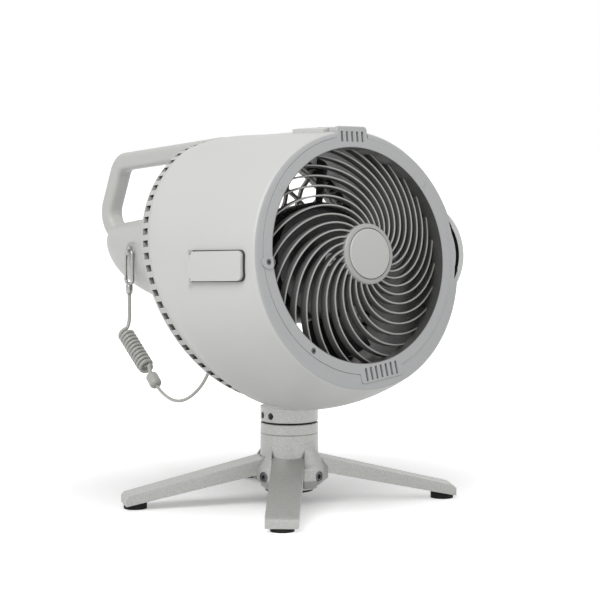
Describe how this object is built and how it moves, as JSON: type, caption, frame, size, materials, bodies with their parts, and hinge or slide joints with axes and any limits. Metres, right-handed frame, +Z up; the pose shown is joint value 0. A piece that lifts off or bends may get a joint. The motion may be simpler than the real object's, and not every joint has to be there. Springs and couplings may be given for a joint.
{
  "type": "portable drum fan",
  "caption": "Portable rechargeable drum fan with a spiral front grille, rear carrying handle, swivel column, folding leg stand and a coiled lanyard.",
  "frame": {"origin": "on the floor, under the middle of the whole without its lanyard", "axes": "+Z up; the fan blows towards -Y; the carrying handle is at +Y"},
  "size_m": [0.3152, 0.4742, 0.3766],
  "materials": {
    "shell": "satin pale warm grey",
    "ring": "satin cool grey",
    "vane": "satin light grey",
    "cap": "satin silver paint",
    "dark_plastic": "gloss dark grey",
    "inner_plastic": "matt dark grey",
    "silver_paint": "fine metallic silver-grey paint",
    "housing": "satin pale warm grey",
    "screw": "blackened steel",
    "steel": "bright steel",
    "copper": "enamelled copper and iron",
    "cell": "wrapped steel cells",
    "board": "solder-masked board",
    "rubber": "matt black rubber",
    "washer": "matt black nylon",
    "hook": "satin plated steel",
    "cord": "grey plastic-coated cord"
  },
  "bodies": {
    "stand": {"column_base": "silver_paint", "base_screws": "screw", "base_plate": "washer", "swivel_ring": "silver_paint", "friction_washer": "washer", "pin_right": "steel", "pin_rear": "steel", "pin_left": "steel", "pin_front": "steel"},
    "head": {"collar": "silver_paint", "collar_screws": "screw", "swivel_spindle": "steel", "spindle_nut": "steel", "drum_shell": "shell", "top_pad": "shell", "front_ring": "ring", "ring_screws": "screw", "front_grille": "vane", "hub_cap": "cap", "air_duct": "inner_plastic", "rear_grille": "housing", "rear_housing": "housing", "motor_mount": "inner_plastic", "motor_can": "dark_plastic", "bearing_front": "steel", "bearing_rear": "steel", "stator": "copper", "battery_cells": "cell", "battery_tray": "inner_plastic", "port_panel": "inner_plastic", "control_board": "board", "cover_pin": "steel", "snap_hook": "hook", "cord_ferrule": "hook", "lanyard_coil": "cord", "cord_bulb": "inner_plastic", "lanyard_tail": "cord"},
    "rotor": {"fan_rotor": "dark_plastic", "motor_shaft": "steel", "magnet_rotor": "steel", "rotor_nut": "steel"},
    "cover": {"port_cover": "shell"},
    "button": {"power_button": "shell"},
    "gate": {"snap_gate": "hook"},
    "leg_right": {"leg_right": "silver_paint", "foot_right": "rubber"},
    "leg_rear": {"leg_rear": "silver_paint", "foot_rear": "rubber"},
    "leg_left": {"leg_left": "silver_paint", "foot_left": "rubber"},
    "leg_front": {"leg_front": "silver_paint", "foot_front": "rubber"}
  },
  "joints": [
    {"name": "head_swivel", "type": "hinge", "parent": "stand", "child": "head", "pos_m": [0.00288, -0.09749, 0.0824], "axis": [0, 0, 1], "range_deg": [-180, 180]},
    {"name": "rotor_spin", "type": "hinge", "parent": "head", "child": "rotor", "pos_m": [0.00288, -0.12717, 0.24143], "axis": [0, -0.989, 0.1478], "continuous": true},
    {"name": "cover_hinge", "type": "hinge", "parent": "head", "child": "cover", "pos_m": [-0.13682, -0.12486, 0.24422], "axis": [0, -0.061, -0.9981], "range_deg": [0, 100]},
    {"name": "button_press", "type": "slide", "parent": "head", "child": "button", "axis": [0, -0.1478, -0.989], "range_m": [0, 0.001], "stiffness_N_per_m": 600},
    {"name": "gate_hinge", "type": "hinge", "parent": "head", "child": "gate", "pos_m": [-0.03712, 0.13844, 0.21556], "axis": [1, 0, 0], "range_deg": [0, 24], "stiffness_Nm_per_rad": 0.02},
    {"name": "leg_right_fold", "type": "hinge", "parent": "stand", "child": "leg_right", "pos_m": [0.02999, -0.11252, 0.036], "axis": [0.4848, 0.8746, 0], "range_deg": [0, 75]},
    {"name": "leg_rear_fold", "type": "hinge", "parent": "stand", "child": "leg_rear", "pos_m": [0.01424, -0.06865, 0.036], "axis": [-0.9304, 0.3665, 0], "range_deg": [0, 75]},
    {"name": "leg_left_fold", "type": "hinge", "parent": "stand", "child": "leg_left", "pos_m": [-0.02555, -0.08513, 0.036], "axis": [-0.3987, -0.9171, 0], "range_deg": [0, 75]},
    {"name": "leg_front_fold", "type": "hinge", "parent": "stand", "child": "leg_front", "pos_m": [-0.01688, -0.12138, 0.036], "axis": [0.7705, -0.6374, 0], "range_deg": [0, 75]}
  ]
}
